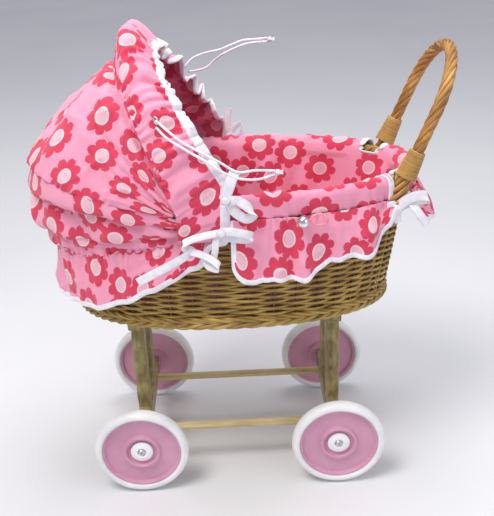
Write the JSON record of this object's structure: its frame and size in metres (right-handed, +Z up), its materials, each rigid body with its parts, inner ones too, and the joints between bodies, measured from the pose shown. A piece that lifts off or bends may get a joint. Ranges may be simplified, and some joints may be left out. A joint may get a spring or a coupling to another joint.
{
  "type": "doll pram",
  "caption": "Doll pram: oval woven willow basket with cloth liner and folding cloth hood, on a wooden leg frame with spinning plastic wheels and a bent willow handle.",
  "frame": {"origin": "on the floor, under the middle of the pram's overall length and width", "axes": "+X towards the handle, +Z up; the hood is at -X and +Y is the far side"},
  "size_m": [0.5135, 0.276, 0.5765],
  "materials": {
    "tyre": "satin white moulded tyre",
    "disc": "satin dusty pink moulded plastic",
    "bush": "glossy white plastic",
    "steel": "bright zinc plate",
    "leg_wood": "oiled golden-olive softwood, satin",
    "dowel_wood": "pale bare dowel",
    "ply": "plain thin plywood",
    "willow": "golden-brown peeled willow, satin varnish",
    "stake_willow": "golden-brown peeled willow",
    "cane": "pale split cane",
    "print_cloth": "light pink cotton with coral red flowers",
    "white_tape": "white cotton tape",
    "white_cord": "white braided elastic",
    "hoop_wire": "white-coated spring wire",
    "button": "polished ball button"
  },
  "bodies": {
    "chassis": {"wheel_bushes": "bush", "axle_washers": "steel", "axle_screws": "steel", "axle_beam_hood": "leg_wood", "axle_beam_handle": "leg_wood", "leg_hood_near": "leg_wood", "leg_hood_far": "leg_wood", "leg_handle_near": "leg_wood", "leg_handle_far": "leg_wood", "top_rail_hood": "leg_wood", "top_rail_handle": "leg_wood", "leg_pegs": "dowel_wood", "rail_screws": "steel", "stretcher_near": "dowel_wood", "stretcher_far": "dowel_wood", "base_board": "ply", "foot_border": "willow", "basket_wall": "willow", "stakes": "stake_willow", "rim_border": "willow", "handle_rods": "willow", "binding_near": "cane", "binding_far": "cane", "basket_liner": "print_cloth", "skirt_near": "print_cloth", "skirt_far": "print_cloth", "skirt_end": "print_cloth", "side_buttons": "button", "button_loops": "print_cloth", "bow_top_near": "white_tape", "bow_top_far": "white_tape", "bow_low_near": "white_tape", "bow_low_far": "white_tape", "bow_end_near": "white_tape", "bow_end_far": "white_tape", "hood_pins": "steel", "hood_drop": "print_cloth", "hood_skirt": "print_cloth"},
    "wheel_hood_near": {"tyre_hood_near": "tyre", "wheel_disc_hood_near": "disc"},
    "wheel_hood_far": {"tyre_hood_far": "tyre", "wheel_disc_hood_far": "disc"},
    "wheel_handle_near": {"tyre_handle_near": "tyre", "wheel_disc_handle_near": "disc"},
    "wheel_handle_far": {"tyre_handle_far": "tyre", "wheel_disc_handle_far": "disc"},
    "hood_rear": {"rear_hoop": "hoop_wire", "hood_crown": "print_cloth"},
    "hood_front": {"front_hoop": "hoop_wire", "hood_brim": "print_cloth", "hood_cord_near_a": "white_cord", "hood_cord_near_b": "white_cord", "hood_cord_far_a": "white_cord", "hood_cord_far_b": "white_cord", "cord_knot_near": "white_cord", "cord_knot_far": "white_cord"}
  },
  "joints": [
    {"name": "spin_hood_near", "type": "hinge", "parent": "chassis", "child": "wheel_hood_near", "pos_m": [-0.1435, -0.1115, 0.06], "axis": [0, 1, 0], "continuous": true},
    {"name": "spin_hood_far", "type": "hinge", "parent": "chassis", "child": "wheel_hood_far", "pos_m": [-0.1435, 0.1115, 0.06], "axis": [0, 1, 0], "continuous": true},
    {"name": "spin_handle_near", "type": "hinge", "parent": "chassis", "child": "wheel_handle_near", "pos_m": [0.1095, -0.1115, 0.06], "axis": [0, 1, 0], "continuous": true},
    {"name": "spin_handle_far", "type": "hinge", "parent": "chassis", "child": "wheel_handle_far", "pos_m": [0.1095, 0.1115, 0.06], "axis": [0, 1, 0], "continuous": true},
    {"name": "hood_rear_fold", "type": "hinge", "parent": "chassis", "child": "hood_rear", "pos_m": [-0.069, 0, 0.383], "axis": [0, -1, 0], "range_deg": [0, 9], "deforming": ["hood_drop"]},
    {"name": "hood_front_fold", "type": "hinge", "parent": "hood_rear", "child": "hood_front", "pos_m": [-0.069, 0, 0.383], "axis": [0, -1, 0], "range_deg": [0, 40], "deforming": ["hood_crown"]}
  ],
  "couplings": [
    {"joint": "hood_rear_fold", "follows": "hood_front_fold", "ratio": 0.225}
  ]
}
